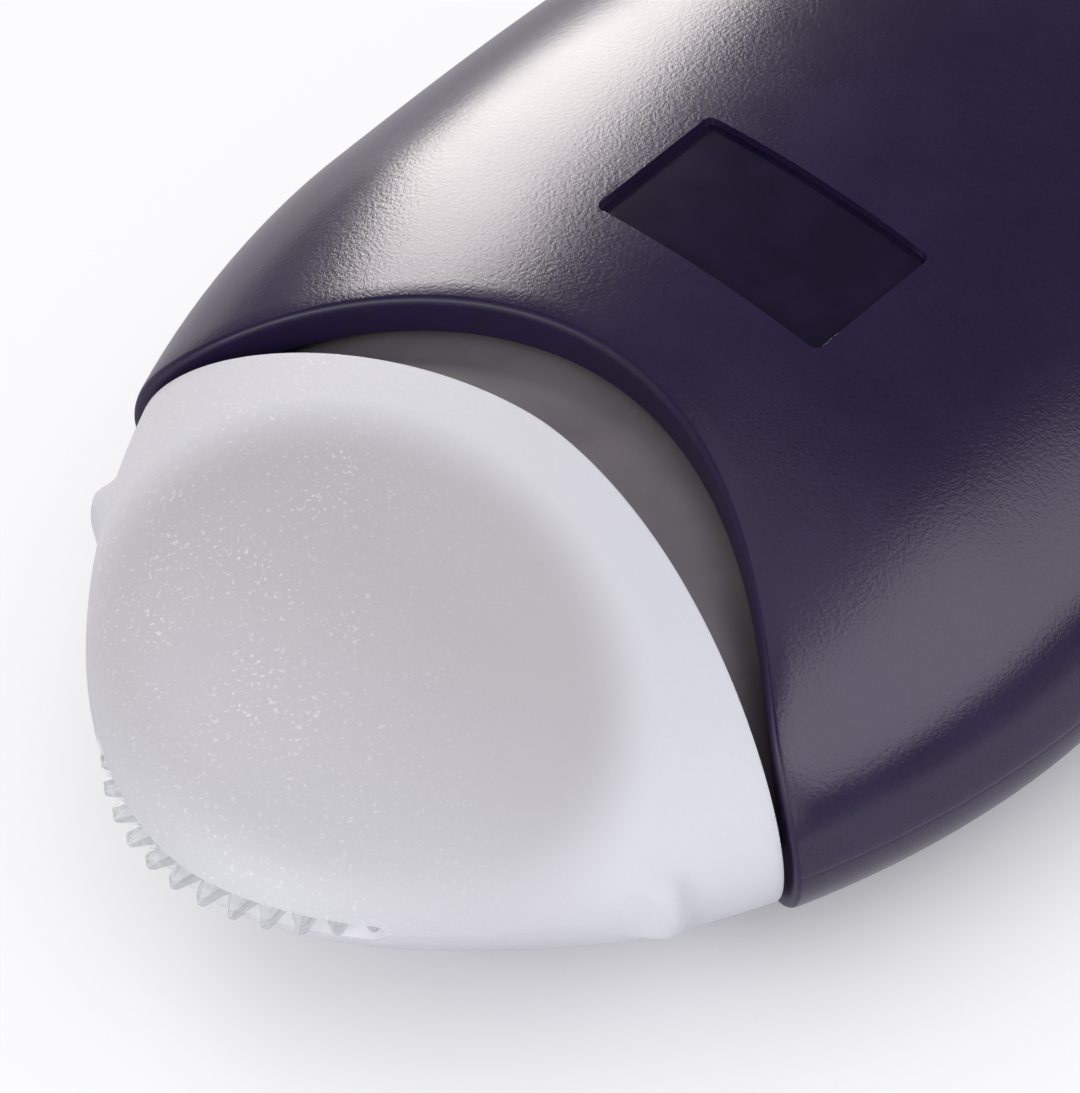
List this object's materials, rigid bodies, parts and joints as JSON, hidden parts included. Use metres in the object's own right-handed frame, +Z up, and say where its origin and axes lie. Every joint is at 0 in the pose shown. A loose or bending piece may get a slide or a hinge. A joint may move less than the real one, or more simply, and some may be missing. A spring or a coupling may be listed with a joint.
{
  "type": "chalk wheel marker",
  "caption": "Egg-shaped palm tool for sewing, with a push-in chalk cartridge whose toothed wheel rolls a fine line of chalk onto cloth.",
  "frame": {"origin": "centre of the bounding box in X and Y, at its lowest point in Z", "axes": "+Y runs from the nose with the wheel to the tail, +X is to the right seen from the nose's end looking along +Y, +Z is up, square to the wheel's plane"},
  "size_m": [0.0466, 0.077, 0.0214],
  "materials": {
    "shell": "dark violet, spark-eroded grain",
    "cartridge": "milky white, fine grain, slightly translucent",
    "wheel": "clear moulded plastic",
    "axle": "drawn wire",
    "plug": "soft, matt",
    "chalk": "loose powder"
  },
  "bodies": {
    "body": {"body_shell_upper": "shell", "body_shell_lower": "shell"},
    "cartridge": {"cartridge_upper": "cartridge", "cartridge_lower": "cartridge", "wheel_axle": "axle", "chalk_fill": "chalk"},
    "wheel": {"chalk_wheel": "wheel"},
    "plug": {"filler_plug": "plug"}
  },
  "joints": [
    {"name": "cartridge_slide", "type": "slide", "parent": "body", "child": "cartridge", "axis": [0, -1, 0], "range_m": [0, 0.042]},
    {"name": "wheel_spin", "type": "hinge", "parent": "cartridge", "child": "wheel", "pos_m": [0, -0.0282, 0.01063], "axis": [0, 0, 1], "continuous": true},
    {"name": "plug_pull", "type": "slide", "parent": "cartridge", "child": "plug", "axis": [0, 1, 0], "range_m": [0, 0.006]}
  ]
}
